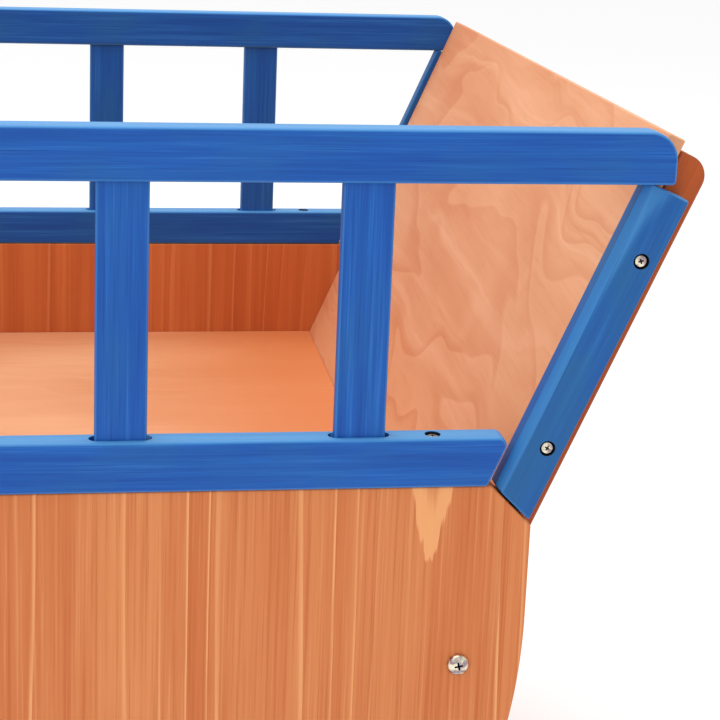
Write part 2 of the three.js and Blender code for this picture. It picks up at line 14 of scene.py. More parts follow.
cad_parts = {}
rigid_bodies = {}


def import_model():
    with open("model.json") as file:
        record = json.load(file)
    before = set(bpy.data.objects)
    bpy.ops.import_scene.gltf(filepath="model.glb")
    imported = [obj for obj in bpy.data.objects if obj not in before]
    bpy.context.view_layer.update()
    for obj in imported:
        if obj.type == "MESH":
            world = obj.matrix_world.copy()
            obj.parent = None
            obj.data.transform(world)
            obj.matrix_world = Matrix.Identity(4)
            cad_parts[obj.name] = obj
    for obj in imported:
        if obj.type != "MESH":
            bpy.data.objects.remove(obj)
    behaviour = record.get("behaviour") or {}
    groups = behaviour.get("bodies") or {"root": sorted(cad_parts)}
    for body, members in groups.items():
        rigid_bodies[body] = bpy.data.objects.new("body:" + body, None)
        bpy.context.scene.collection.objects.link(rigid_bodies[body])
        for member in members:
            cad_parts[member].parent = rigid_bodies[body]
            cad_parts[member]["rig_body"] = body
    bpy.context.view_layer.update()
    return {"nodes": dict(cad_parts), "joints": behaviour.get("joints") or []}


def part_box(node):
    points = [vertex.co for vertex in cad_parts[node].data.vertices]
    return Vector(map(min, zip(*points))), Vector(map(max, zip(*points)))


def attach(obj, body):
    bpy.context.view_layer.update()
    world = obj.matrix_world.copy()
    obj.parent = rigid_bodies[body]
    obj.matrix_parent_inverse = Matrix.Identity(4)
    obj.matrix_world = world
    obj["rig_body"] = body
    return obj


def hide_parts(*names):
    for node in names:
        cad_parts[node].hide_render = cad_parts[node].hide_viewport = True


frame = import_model()
MM = 0.001
SIDES = (("left", -1), ("right", 1))
ENDS = (("front", -1), ("rear", 1))

# %% [markdown]
# ## Camera
# The view is taken from the rear left corner, a little above the top rail, with a long lens that
# keeps the rails nearly parallel. The camera could track an empty, but a place and three angles
# are enough: heading, downward tilt and a slight roll. The shift crops the frame down and across,
# so the uprights stay nearly vertical although the camera looks down.

# %% Place the camera
VIEW_PLACE = Vector((0.3435, -1.1527, 0.7421))
VIEW_HEADING = math.radians(7.83)     # clockwise from +Y, seen from above
VIEW_TILT = math.radians(12.61)       # downwards
VIEW_ROLL = math.radians(-1.94)
bpy.ops.object.camera_add(location=VIEW_PLACE)
camera = bpy.context.object
camera.name = "view"
upright = Matrix.Rotation(-VIEW_HEADING, 3, "Z") @ Matrix.Rotation(math.pi / 2 - VIEW_TILT, 3, "X")
camera.rotation_euler = (upright @ Matrix.Rotation(-VIEW_ROLL, 3, "Z")).to_euler()
camera.data.lens = 85.6
camera.data.shift_x = 0.07
camera.data.shift_y = -0.20
camera.data.clip_end = 60
bpy.context.scene.camera = camera
print("camera looks along", [round(v, 3) for v in camera.rotation_euler.to_matrix() @ Vector((0, 0, -1))])

# %% [markdown]
# ## Floor and light
# A pale studio: one large floor that runs out of sight, a white surrounding, and soft lamps above
# and in front. Big lamps make soft shadows, and the surrounding fills them. The floor glows a
# little, so that it stays nearly white where the lamps don't reach.

# %% Lay the floor and hang the lamps
FLOOR_SIZE = 40
FLOOR_SHADE = 0.86
FLOOR_GLOW = 0.22
SURROUND_STRENGTH = 0.85
bpy.ops.mesh.primitive_plane_add(size=FLOOR_SIZE)
floor = bpy.context.object
floor.name = "studio_floor"
pale = bpy.data.materials.new("studio_floor")
pale.use_nodes = True
for socket, value in (("Base Color", (FLOOR_SHADE, FLOOR_SHADE, FLOOR_SHADE, 1)), ("Roughness", 0.9),
                      ("Emission Color", (1, 1, 1, 1)), ("Emission Strength", FLOOR_GLOW)):
    pale.node_tree.nodes["Principled BSDF"].inputs[socket].default_value = value
floor.data.materials.append(pale)

surround = bpy.data.worlds.new("studio")
surround.use_nodes = True
surround.node_tree.nodes["Background"].inputs["Color"].default_value = (1, 1, 1, 1)
surround.node_tree.nodes["Background"].inputs["Strength"].default_value = SURROUND_STRENGTH
bpy.context.scene.world = surround
bpy.context.scene.view_settings.view_transform = "Standard"


def hang_lamp(name, place, target, size, power):
    """A square soft lamp that faces the target."""
    bpy.ops.object.light_add(type="AREA", location=place)
    lamp = bpy.context.object
    lamp.name = name
    lamp.data.size = size
    lamp.data.energy = power
    lamp.rotation_euler = (Vector(target) - Vector(place)).to_track_quat("-Z", "Y").to_euler()


hang_lamp("lamp_above", place=(0.1, 0.2, 2.6), target=(0.2, 0.05, 0.3), size=2.2, power=34)
hang_lamp("lamp_front", place=(-1.4, -2.6, 2.2), target=(0.3, 0, 0.4), size=2.4, power=16)

# %% [markdown]
# ## Shader sums
# A pattern is arithmetic on coordinates, so it reads best as arithmetic. `Value` wraps one output
# of a node and turns +, -, *, / and ** into Math nodes. `Finish` holds a material and adds any
# other node from its type, its settings and its inputs.

# %% Write the two helpers
class Value:
    """A number at each point of a surface, used in plain sums."""

    def __init__(self, finish, socket):
        self.finish = finish
        self.socket = socket

    def sum(self, operation, *terms):
        return self.finish.node("Math", {"operation": operation}, dict(enumerate(terms)))

    def __add__(self, other):
        return self.sum("ADD", self, other)

    def __sub__(self, other):
        return self.sum("SUBTRACT", self, other)

    def __rsub__(self, other):
        return self.sum("SUBTRACT", other, self)

    def __mul__(self, other):
        return self.sum("MULTIPLY", self, other)

    def __truediv__(self, other):
        return self.sum("DIVIDE", self, other)

    def __pow__(self, other):
        return self.sum("POWER", self, other)

    def __abs__(self):
        return self.sum("ABSOLUTE", self)

    __radd__ = __add__
    __rmul__ = __mul__

    def whole(self):
        return self.sum("FLOOR", self)

    def part(self):
        return self.sum("FRACT", self)

    def most(self, other):
        return self.sum("MAXIMUM", self, other)

    def step(self, low, high):
        """0 below low and 1 above high, with a smooth rise between them."""
        settings = {"interpolation_type": "SMOOTHSTEP"}
        return self.finish.node("MapRange", settings, {"Value": self, "From Min": low, "From Max": high})


class Finish:
    """A material in the making, with its coordinates turned so that the grain stands along Z."""

    def __init__(self, name, turn=(0, 0, 0)):
        self.material = bpy.data.materials.new(name)
        self.material.use_nodes = True
        self.tree = self.material.node_tree
        self.shader = self.tree.nodes["Principled BSDF"]
        self.turn = turn
        self.place = self.turned("Object")
        self.x, self.y, self.z = self.axes(self.place)

    def node(self, kind, settings=(), inputs=(), output=0):
        made = self.tree.nodes.new("ShaderNode" + kind)
        for key, value in dict(settings).items():
            setattr(made, key, value)
        for key, value in dict(inputs).items():
            self.feed(made.inputs[key], value)
        return Value(self, made.outputs[output])

    def feed(self, socket, value):
        if isinstance(value, Value):
            self.tree.links.new(value.socket, socket)
        else:
            socket.default_value = value

    def turned(self, output):
        raw = self.node("TexCoord", output=output)
        if not any(self.turn):
            return raw
        return self.node("VectorRotate", {"rotation_type": "EULER_XYZ"},
                         {"Vector": raw, "Rotation": self.turn})

    def axes(self, vector):
        return [self.node("SeparateXYZ", (), {0: vector}, axis) for axis in range(3)]

    def point(self, x, y, z):
        return self.node("CombineXYZ", (), {0: x, 1: y, 2: z})

    def noise(self, point, scale=1.0, detail=2.0, roughness=0.5, distortion=0.0):
        return self.node("TexNoise", (), {"Vector": point, "Scale": scale, "Detail": detail,
                                          "Roughness": roughness, "Distortion": distortion})

    def blend(self, factor, below, above):
        """The colour below where factor is 0 and the colour above where it is 1."""
        settings = {"data_type": "RGBA", "clamp_factor": True}
        return self.node("Mix", settings, {0: factor, 6: below, 7: above}, 2)

    def relief(self, height, strength, distance=0.0005):
        return self.node("Bump", (), {"Strength": strength, "Distance": distance, "Height": height})

    def arris(self):
        """1 on rounded-over edges and 0 on the flats, from the surface's own direction."""
        flats = [abs(axis) for axis in self.axes(self.turned("Normal"))]
        return 1 - flats[0].most(flats[1]).most(flats[2]).step(0.86, 0.99)

    def set(self, **sockets):
        for name, value in sockets.items():
            self.feed(self.shader.inputs[name.replace("_", " ")], value)
        return self.material


def paint(red, green, blue):
    """A colour from its three shares of 255, in the linear values that shaders take."""
    return (*[((c / 255 + 0.055) / 1.055) ** 2.4 if c > 10 else c / 255 / 12.92
              for c in (red, green, blue)], 1)


print("orange in linear values:", [round(c, 3) for c in paint(215, 135, 90)])

# %% [markdown]
# ## Which way the grain runs
# A tree's rings follow the board, so each piece needs coordinates with its own length upright. The
# tub's ends lean, and the handle slopes, so both angles are read from the frame: the lean from the
# widest face of the end panel, and the slope from the hinge to the grip.

# %% Measure the lean and the slope
def widest_normal(node):
    """The direction of the largest flat face of a CAD node."""
    sums = {}
    for face in frame["nodes"][node].data.polygons:
        key = tuple(round(v, 2) for v in face.normal)
        sums[key] = sums.get(key, Vector((0, 0, 0))) + face.normal * face.area
    return max(sums.values(), key=lambda v: v.length).normalized()


def centre(node):
    low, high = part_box(node)
    return (low + high) / 2


across = widest_normal("end_panel_rear")
lean = math.atan2(abs(across.z), abs(across.x))
tub_middle = centre("floor_board").x
grip_centre = centre("grip_bar")
hinge = next(Vector(j["pos_m"]) for j in frame["joints"] if j["name"] == "handle_lift")
handle_slope = math.atan2(hinge.z - grip_centre.z, hinge.x - grip_centre.x)
TURNS = {
    "upright": (0, 0, 0),
    "lengthwise": (0, -math.pi / 2, 0),
    "crosswise": (math.pi / 2, 0, 0),
    "leaning_rear": (0, -lean, 0),
    "leaning_front": (0, lean, 0),
    "handle": (0, handle_slope - math.pi / 2, 0),
}
print("lean", round(math.degrees(lean), 2), "handle slope", round(math.degrees(handle_slope), 2))

# %% [markdown]
# ## Stained pine
# The sides are edge-glued pine boards under a translucent orange-brown stain. Stain soaks into the
# soft early wood and slides off the hard late wood, so each year's ring ends in a thin pale line.
# A wave texture gives lines that are too even. Here each board gets the centre of its own tree,
# the distance from that centre gives the rings, and slow noise along the grain bends them. The
# sides' inner faces are painted darker and deeper orange as shade, and the brush missed a ragged
# tongue of pale wood at the top of the left side, beside the rear bolt.

# %% Mix the pine stain
WOOD_SHEEN = 0.25         # stained wood shines less than the shader's default surface


def pine_stain(name, turn, board_width=0.083, ring_width=0.0066, tongue=None):
    f = Finish(name, TURNS[turn])
    board = (f.x / board_width).whole()
    lot = f.node("TexWhiteNoise", {"noise_dimensions": "1D"}, {"W": board + 3.7})
    second = f.node("TexWhiteNoise", {"noise_dimensions": "1D"}, {"W": board * 1.7 + 11.3})
    slow = f.noise(f.point(f.x * 9, f.y * 9, f.z * 1.6 + lot * 30), detail=2) - 0.5
    pith_x = f.x - (board + 0.15 + 0.7 * lot) * board_width
    pith_y = abs(f.y) * 0.12 + 0.022 + 0.05 * second
    reach = f.node("Math", {"operation": "SQRT"}, {0: pith_x * pith_x + pith_y * pith_y})
    rings = (reach + slow * 0.012 + f.z * 0.004) / ring_width
    year = rings.part()
    pale_line = year.step(0.86, 0.96) * (1 - year.step(0.98, 1.0))
    soft = (1 - year) ** 2
    fibre = f.noise(f.point(f.x * 520, f.y * 520, f.z * 6), detail=3, roughness=0.7)
    streak = f.noise(f.point(f.x * 58, f.y * 58, f.z * 1.3 + second * 9), detail=3, roughness=0.6)
    cloud = f.noise(f.point(f.x * 14, f.y * 14, f.z * 5), detail=2)
    depth = streak.step(0.32, 0.68) * 0.55 + cloud.step(0.3, 0.7) * 0.25 + soft * 0.20
    colour = f.blend(depth, paint(216, 137, 84), paint(196, 106, 56))
    colour = f.blend(lot.step(0.45, 0.95) * 0.45, colour, paint(190, 96, 48))
    colour = f.blend(pale_line * (0.12 + 0.8 * streak.step(0.35, 0.6)), colour, paint(233, 164, 108))
    colour = f.blend(fibre.step(0.48, 0.7) * 0.5, colour, paint(178, 88, 44))
    colour = f.blend(fibre.step(0.46, 0.28) * 0.35, colour, paint(230, 160, 110))
    if tongue:
        # Painted shade: the inner faces of the sides get a darker, deeper orange, as the tub's inside gets
        # less light.
        inner_face_shade = 1 - (f.axes(f.turned("Normal"))[1] * f.y).step(-0.1, 0.1)
        deep = f.blend(depth, paint(206, 108, 50), paint(172, 78, 32))
        colour = f.blend(inner_face_shade * 0.62, colour, deep)
        middle, top, foot, half = tongue
        ragged = f.noise(f.point(f.x * 520, 0, f.z * 14), detail=3) - 0.5
        share = (f.z - foot + ragged * 0.034) / (top - foot)
        room = half * share.most(0) ** 0.62 - abs(f.x - middle)
        near_side = 1 - f.y.step(-0.01, 0.01)
        patch = room.step(0.0, 0.0012) * near_side
        core = room.step(half * 0.45, half * 0.85) * share.step(0.45, 0.95)
        tongue_colour = f.blend(core * 0.75, paint(234, 164, 108), paint(204, 122, 72))
        colour = f.blend(patch * 0.9, colour, tongue_colour)
    grain = fibre * 0.5 + pale_line * 0.5
    return f.set(Base_Color=colour, Roughness=0.52 + 0.16 * fibre, Normal=f.relief(grain, 0.22),
                 Specular_IOR_Level=WOOD_SHEEN)


bolt_middle = centre("side_bolt_rear_left")
side_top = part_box("side_panel_left")[1].z
TONGUE = (bolt_middle.x - 19.4 * MM, side_top + 7 * MM, side_top - 45 * MM,
          12.8 * MM)      # its middle, top, foot and half width
pine = {turn: pine_stain("pine_" + turn, turn) for turn in ("lengthwise", "crosswise", "handle")}
pine["side"] = pine_stain("pine_side", "upright", tongue=TONGUE)
print("pine finishes:", sorted(pine))

# %% [markdown]
# ## Stained plywood
# Veneer is peeled off the log like paper off a roll, so the knife cuts along the rings and leaves
# islands and swirls in place of straight lines. They are the height lines of a slow, stretched
# noise: its value times a count, less the whole part, jumps once at each line. On the floor,
# painted shade darkens both ends, where the end panels shade it.

# %% Mix the plywood stain
def ply_stain(name, turn, slant=0.0, figure=1.0, end_shade=0.0):
    f = Finish(name, TURNS[turn])
    u = f.y * math.cos(slant) + f.z * math.sin(slant)
    v = f.z * math.cos(slant) - f.y * math.sin(slant)
    warp = f.noise(f.point(u * 5, f.x * 2, v * 5), detail=2) - 0.5
    hill = f.noise(f.point(u * 7 + warp * 1.5, f.x * 2, v * 0.6), detail=1.6, roughness=0.45)
    line = (hill * 16).part()
    dark_line = line.step(0.62, 0.95) * (1 - line.step(0.96, 1.0))
    pale_side = (1 - line) ** 3
    wisp = f.noise(f.point(u * 46 + hill * 12, f.x * 9, v * 2.4), detail=3, roughness=0.6)
    fibre = f.noise(f.point(u * 420, f.x * 420, v * 16), detail=3, roughness=0.7)
    pores = f.noise(f.point(u * 900, f.x * 900, v * 60), detail=1)
    cloud = f.noise(f.point(u * 9, f.x * 4, v * 4), detail=3)
    fade = f.noise(f.point(u * 4, f.x, v * 3), detail=2).step(0.38, 0.62)
    colour = f.blend(cloud.step(0.3, 0.7), paint(215, 144, 100), paint(228, 164, 121))
    colour = f.blend(wisp.step(0.5, 0.78) * 0.55 * figure, colour, paint(242, 188, 150))
    colour = f.blend(wisp.step(0.5, 0.25) * 0.5 * figure, colour, paint(206, 128, 82))
    colour = f.blend(dark_line * (0.06 + 0.26 * fade) * figure, colour, paint(202, 116, 70))
    colour = f.blend(pale_side * (0.22 * figure), colour, paint(238, 180, 140))
    colour = f.blend(fibre.step(0.5, 0.8) * 0.22, colour, paint(200, 122, 78))
    colour = f.blend(pores.step(0.66, 0.8) * 0.18, colour, paint(190, 104, 62))
    # Painted shade: the floor darkens towards both ends of the tub, under the end panels.
    if end_shade:
        end = abs(f.z - tub_middle) + (cloud - 0.5) * 0.05
        colour = f.blend(end.step(0.10, 0.29) * end_shade, colour, paint(214, 120, 62))
    return f.set(Base_Color=colour, Roughness=0.5 + 0.15 * fibre, Normal=f.relief(fibre, 0.12),
                 Specular_IOR_Level=WOOD_SHEEN)


VENEER_SLANT = math.radians(-85)
ply = {
    "leaning_rear": ply_stain("plywood_rear", "leaning_rear", slant=VENEER_SLANT),
    "leaning_front": ply_stain("plywood_front", "leaning_front", slant=VENEER_SLANT),
    "lengthwise": ply_stain("plywood_floor", "lengthwise", figure=0.3, end_shade=0.75),
}
print("plywood finishes:", sorted(ply))

# %% [markdown]
# ## Dark battens
# The battens behind the end panels are the darkest orange on the wagon.
# Their grain is straight and close, so streaks along the piece are enough, with no rings.

# %% Mix the batten stain
def batten_stain(name, turn):
    f = Finish(name, TURNS[turn])
    streak = f.noise(f.point(f.x * 95, f.y * 95, f.z * 2.5), detail=3, roughness=0.6)
    fibre = f.noise(f.point(f.x * 700, f.y * 700, f.z * 9), detail=2)
    colour = f.blend(streak.step(0.3, 0.7), paint(190, 90, 38), paint(164, 72, 28))
    colour = f.blend(fibre.step(0.55, 0.8) * 0.4, colour, paint(138, 56, 28))
    colour = f.blend(f.arris() * 0.35, colour, paint(128, 54, 30))
    return f.set(Base_Color=colour, Roughness=0.5 + 0.15 * fibre, Normal=f.relief(fibre, 0.18),
                 Specular_IOR_Level=WOOD_SHEEN)


batten = {turn: batten_stain("batten_" + turn, turn) for turn in ("leaning_rear", "leaning_front")}
print("batten finishes:", sorted(batten))

# %% [markdown]
# ## Blue stain
# The railings carry a thick blue stain, brushed along the grain. It is nearly opaque: the wood
# only shows as streaks, the brush leaves lighter and darker lanes, and the arrises are a little
# lighter. The upper faces get a lighter blue as painted highlight, and the posts faded more than
# the rails.

# %% Mix the blue stain
def blue_stain(name, turn, faded=0.0):
    f = Finish(name, TURNS[turn])
    lane = f.noise(f.point(f.x * 210, f.y * 210, f.z * 5), detail=3, roughness=0.65)
    fibre = f.noise(f.point(f.x * 1100, f.y * 1100, f.z * 14), detail=2, roughness=0.7)
    mottle = f.noise(f.point(f.x * 38, f.y * 38, f.z * 17), detail=3)
    colour = f.blend(lane.step(0.3, 0.72), paint(12, 76, 160), paint(22, 92, 176))
    colour = f.blend(mottle.step(0.42, 0.7) * 0.55, colour, paint(26, 92, 158))
    colour = f.blend(fibre.step(0.5, 0.72) * 0.5, colour, paint(8, 60, 138))
    colour = f.blend(fibre.step(0.5, 0.32) * lane.step(0.4, 0.7) * 0.28, colour, paint(70, 138, 204))
    colour = f.blend(faded * mottle, colour, paint(34, 96, 142))
    # Painted highlight: faces that look up get a lighter blue, as if they mirrored the bright sky.
    top = f.axes(f.node("TexCoord", output="Normal"))[2].step(0.35, 0.95)
    colour = f.blend(top * (0.35 + 0.4 * lane), colour, paint(104, 178, 226))
    colour = f.blend(f.arris() * (0.25 + 0.5 * lane), colour, paint(66, 138, 202))
    return f.set(Base_Color=colour, Roughness=0.36 + 0.2 * lane, Normal=f.relief(lane + fibre, 0.16),
                 Specular_IOR_Level=WOOD_SHEEN)


POST_FADE = 0.9
blue = {turn: blue_stain("blue_" + turn, turn) for turn in ("upright", "lengthwise", "crosswise")}
for turn in ("leaning_rear", "leaning_front"):
    blue[turn] = blue_stain("blue_" + turn, turn, POST_FADE)
print("blue finishes:", sorted(blue))

# %% [markdown]
# ## Metal, plastic and rubber
# The screws are zinc plated, cream in tone, with darker violet clouds painted on as reflections.
# Their holes and recesses are painted near black as shade. The steel fittings are powder coated
# black, which has an orange-peel skin. The wheels are moulded blue plastic with a fine spark
# texture, the caps are plain black plastic, and the tyres are rubber with patches of dust.

# %% Mix the other finishes
def zinc_plate():
    f = Finish("zinc_plate")
    cloud = f.noise(f.place, scale=230, detail=2, distortion=0.6)
    scratch = f.noise(f.point(f.x * 300, f.y * 2600, f.z * 2600), detail=1)
    # Painted reflection: the darker violet clouds stand in for dark surroundings mirrored in the zinc.
    colour = f.blend(cloud.step(0.38, 0.62), paint(228, 220, 196), paint(150, 130, 138))
    return f.set(Base_Color=colour, Metallic=1.0, Roughness=0.2 + 0.14 * scratch)


def painted_shade():
    # Painted shade: near-black for the screw holes and cross recesses, where shade falls.
    f = Finish("painted_shade")
    shade_speckle = f.noise(f.place, scale=900, detail=2)
    colour = f.blend(shade_speckle, paint(10, 14, 26), paint(24, 26, 34))
    return f.set(Base_Color=colour, Roughness=0.7 + 0.2 * shade_speckle, Specular_IOR_Level=0.2)


def powder_coat():
    f = Finish("black_powder_coat")
    peel = f.noise(f.place, scale=1500, detail=1)
    dust = f.noise(f.place, scale=30, detail=3)
    colour = f.blend(dust.step(0.45, 0.75) * 0.5, paint(30, 31, 33), paint(48, 49, 51))
    return f.set(Base_Color=colour, Roughness=0.42 + 0.2 * dust, Normal=f.relief(peel, 0.25, 0.0002))


def moulded(name, base, worn, low):
    f = Finish(name)
    spark = f.noise(f.place, scale=2200, detail=1)
    haze = f.noise(f.place, scale=22, detail=3)
    colour = f.blend(haze.step(0.4, 0.75) * 0.6, base, worn)
    return f.set(Base_Color=colour, Roughness=low + 0.2 * haze, Normal=f.relief(spark, 0.2, 0.0002))


def tyre_rubber():
    f = Finish("tyre_rubber")
    dust = f.noise(f.place, scale=45, detail=4, roughness=0.65)
    grain = f.noise(f.place, scale=900, detail=2)
    colour = f.blend(dust.step(0.42, 0.8) * 0.6, paint(27, 27, 28), paint(70, 66, 61))
    return f.set(Base_Color=colour, Roughness=0.74 + 0.2 * dust, Normal=f.relief(grain, 0.35, 0.0003))


zinc = zinc_plate()
shade_black = painted_shade()
black_steel = powder_coat()
wheel_plastic = moulded("wheel_plastic", paint(22, 78, 160), paint(40, 96, 174), 0.34)
black_plastic = moulded("black_plastic", paint(26, 26, 27), paint(44, 44, 46), 0.42)
rubber = tyre_rubber()
print("materials:", len(bpy.data.materials))

# %% [markdown]
# ## Rounding over
# Every sawn piece is sanded before it is stained, so no edge on it is sharp. The CAD pieces have
# the right sizes but razor edges. Each one is copied, its loose triangles are merged and its flats
# are joined, and the sharp edges are bevelled in edit mode. Slots and screw holes are cut after
# the sanding in real life and their mouths stay crisp, so a test leaves them out of the selection.

# %% Write the rounding tools
SMOOTH_ANGLE = math.radians(35)
HOLE_EDGE = 4.5 * MM      # edges shorter than this belong to the rims of holes


def only(piece):
    """Makes one object the active and only selected one."""
    bpy.ops.object.select_all(action="DESELECT")
    piece.select_set(True)
    bpy.context.view_layer.objects.active = piece


def edit(piece, kind="FACE"):
    only(piece)
    bpy.ops.object.mode_set(mode="EDIT")
    bpy.ops.mesh.select_mode(type=kind)
    bpy.ops.mesh.select_all(action="SELECT")


def done():
    bpy.ops.object.mode_set(mode="OBJECT")


def pick(piece, kind, wanted):
    """In edit mode, selects only the faces or edges that the test wants."""
    bpy.ops.mesh.select_mode(type=kind)
    bpy.ops.mesh.select_all(action="DESELECT")
    done()
    mesh = piece.data
    items = mesh.polygons if kind == "FACE" else mesh.edges
    count = 0
    for item in items:
        if wanted(item):
            item.select = True
            count += 1
            for corner in item.vertices:
                mesh.vertices[corner].select = True
    bpy.ops.object.mode_set(mode="EDIT")
    return count


def ends_of(piece, edge):
    return [piece.data.vertices[i].co for i in edge.vertices]


def long_edge(a, b):
    return (a - b).length > HOLE_EDGE


def smooth(piece):
    """Shades curves smoothly and keeps the flats flat."""
    only(piece)
    bpy.ops.object.shade_smooth_by_angle(angle=SMOOTH_ANGLE)
    bpy.ops.object.modifier_add(type="WEIGHTED_NORMAL")
    piece.modifiers[-1].keep_sharp = True
    bpy.ops.object.modifier_apply(modifier=piece.modifiers[-1].name)


def fit(piece, material, slot, body, *nodes):
    """Gives a finished piece its material, its body and the CAD nodes it stands for; its record slot is
    not used.
    """
    piece.data.materials.clear()
    piece.data.materials.append(material)
    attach(piece, body)
    if nodes:
        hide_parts(*nodes)


def copy_of(node):
    """A merged copy of a CAD node with each flat face in one piece."""
    piece = bpy.data.objects.new(node + "_finished", frame["nodes"][node].data.copy())
    bpy.context.scene.collection.objects.link(piece)
    edit(piece)
    bpy.ops.mesh.remove_doubles(threshold=0.01 * MM)
    bpy.ops.mesh.dissolve_limited(angle_limit=math.radians(1))
    done()
    return piece


def body_of(node):
    return frame["nodes"][node]["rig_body"]


def eased(node, radius, material, slot, wanted=long_edge, segments=3, chamfer=None):
    """A copy of a CAD node with its wanted sharp edges rounded over, in place of the node.

    A chamfer is a width and a test for the edges that are planed off before the rounding.
    """
    piece = copy_of(node)
    if chamfer:
        width, planed = chamfer
        edit(piece, "EDGE")
        pick(piece, "EDGE", lambda e: planed(*ends_of(piece, e)))
        bpy.ops.mesh.bevel(offset=width, segments=1, affect="EDGES", clamp_overlap=False)
        done()
    edit(piece, "EDGE")
    bpy.ops.mesh.select_all(action="DESELECT")
    bpy.ops.mesh.edges_select_sharp(sharpness=math.radians(20))
    done()
    sharp = {e.index for e in piece.data.edges if e.select}
    bpy.ops.object.mode_set(mode="EDIT")
    count = pick(piece, "EDGE", lambda e: e.index in sharp and wanted(*ends_of(piece, e)))
    bpy.ops.mesh.bevel(offset=radius, segments=segments, affect="EDGES", clamp_overlap=False)
    done()
    smooth(piece)
    fit(piece, material, slot, body_of(node), node)
    print(node, "edges rounded:", count, "faces:", len(piece.data.polygons))
    return piece


# %% [markdown]
# ## The tub's wood
# Thick boards get a larger radius than thin ones. The plywood only has its corners broken, because
# a larger radius would sand through the face veneer.

# %% Round the tub's boards
def any_edge(a, b):
    return True


for side, _ in SIDES:
    eased("side_panel_" + side, 1.2 * MM, pine["side"], "pine")
    eased("chassis_rail_" + side, 2.5 * MM, pine["lengthwise"], "pine", any_edge)
for end, _ in ENDS:
    eased("end_panel_" + end, 1.0 * MM, ply["leaning_" + end], "plywood", any_edge)
    for side, _ in SIDES:
        eased(f"end_batten_{end}_{side}", 1.6 * MM, batten["leaning_" + end], "batten", any_edge)
eased("floor_board", 0.6 * MM, ply["lengthwise"], "plywood", any_edge)
for name in ("cross_beam_front", "cross_beam_middle", "cross_beam_rear"):
    eased(name, 2.0 * MM, pine["crosswise"], "pine")
for name in ("front_bolster", "front_axle_board", "rear_axle_board"):
    eased(name, 2.5 * MM, pine["crosswise"], "pine")

# %% [markdown]
# ## The blue railings
# The rails' outer arrises are rounded, but the spindles' slots are milled afterwards and stay
# sharp. A slot never comes near the rail's faces, so an edge belongs to the outline when one of
# its ends lies close to a face. Each post has a wide chamfer planed along one arris of its outer
# face, the one towards the tub's middle, so that no hand meets a square corner there.

# %% Round the railings
SLOT_ZONE = 6 * MM        # slots and screw holes lie within this distance of a rail's middle


def outline_of(node):
    middle = centre(node).y
    return lambda a, b: max(abs(a.y - middle), abs(b.y - middle)) > SLOT_ZONE


CHAMFER = 4.5 * MM        # planed along one arris of each post


def inner_arris(node):
    """Wants the long edge on a post's outer face that is nearest to the middle of the tub."""
    low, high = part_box(node)
    outer = low.y if low.y < 0 else high.y

    def set_off(v):
        return abs(v.x - tub_middle) - math.tan(lean) * v.z

    nearest = min(set_off(v.co) for v in frame["nodes"][node].data.vertices)
    return lambda a, b: ((a - b).length > 0.5 * (high.z - low.z) and
                         max(abs(a.y - outer), abs(b.y - outer)) < 0.1 * MM and
                         max(set_off(a), set_off(b)) < nearest + 1 * MM)


for side, _ in SIDES:
    for level in ("bottom", "top"):
        rail = f"{level}_rail_{side}"
        eased(rail, 2.2 * MM, blue["lengthwise"], "blue_wood", outline_of(rail), 4)
    for number in range(1, 6):
        eased(f"spindle_{side}_{number}", 1.8 * MM, blue["upright"], "blue_wood", any_edge)
    for end, _ in ENDS:
        post = f"corner_post_{end}_{side}"
        eased(post, 1.2 * MM, blue["leaning_" + end], "blue_wood",
              chamfer=(CHAMFER, inner_arris(post)))

# %% [markdown]
# ## Steel under the floor
# The axles, the king bolt and its nut, the turntable plate and the handle's bracket and pin are
# bought-in steel. Their edges are only broken, and their round faces are smoothed by shading.

# %% Break the edges of the fittings
for name in ("turntable_plate", "drawbar_bracket"):
    eased(name, 0.6 * MM, black_steel, "black_steel", any_edge, 2)
for name in ("king_bolt", "king_nut", "drawbar_pin", "rear_axle_rod", "front_axle_rod"):
    eased(name, 0.5 * MM, zinc, "zinc", any_edge, 2)

# %% [markdown]
# ## Turned shapes
# Wheels, tyres, caps, washers, screws and the dark cups of painted shade in their holes are all
# turned. A lathe profile is drawn as by hand: a plane is collapsed to one vertex, which is extruded
# from point to point, and the finished line is spun round the Y axis. Poles and the seam are then
# merged and the faces turned outwards.

# %% Write the lathe
def lathe(name, profile, steps):
    """Spins a profile of (radius, height) points about the Y axis through the origin."""
    bpy.ops.object.select_all(action="DESELECT")
    bpy.ops.mesh.primitive_plane_add(size=MM)
    piece = bpy.context.object
    piece.name = name
    edit(piece, "VERT")
    bpy.ops.mesh.merge(type="CENTER")
    radius, height = profile[0]
    bpy.ops.transform.translate(value=(radius, height, 0))
    for start, stop in zip(profile, profile[1:]):
        stride = (stop[0] - start[0], stop[1] - start[1], 0)
        bpy.ops.mesh.extrude_vertices_move(TRANSFORM_OT_translate={"value": stride})
    bpy.ops.mesh.select_all(action="SELECT")
    bpy.ops.mesh.spin(steps=steps, angle=2 * math.pi, center=(0, 0, 0), axis=(0, 1, 0))
    bpy.ops.mesh.select_all(action="SELECT")
    bpy.ops.mesh.remove_doubles(threshold=0.005 * MM)
    bpy.ops.mesh.normals_make_consistent(inside=False)
    done()
    return piece


def arc(middle, radius, start, stop, steps):
    """Points on an arc in a profile, between two angles in degrees."""
    angles = [math.radians(start + (stop - start) * i / steps) for i in range(steps + 1)]
    return [(middle[0] + radius * math.cos(a), middle[1] + radius * math.sin(a)) for a in angles]


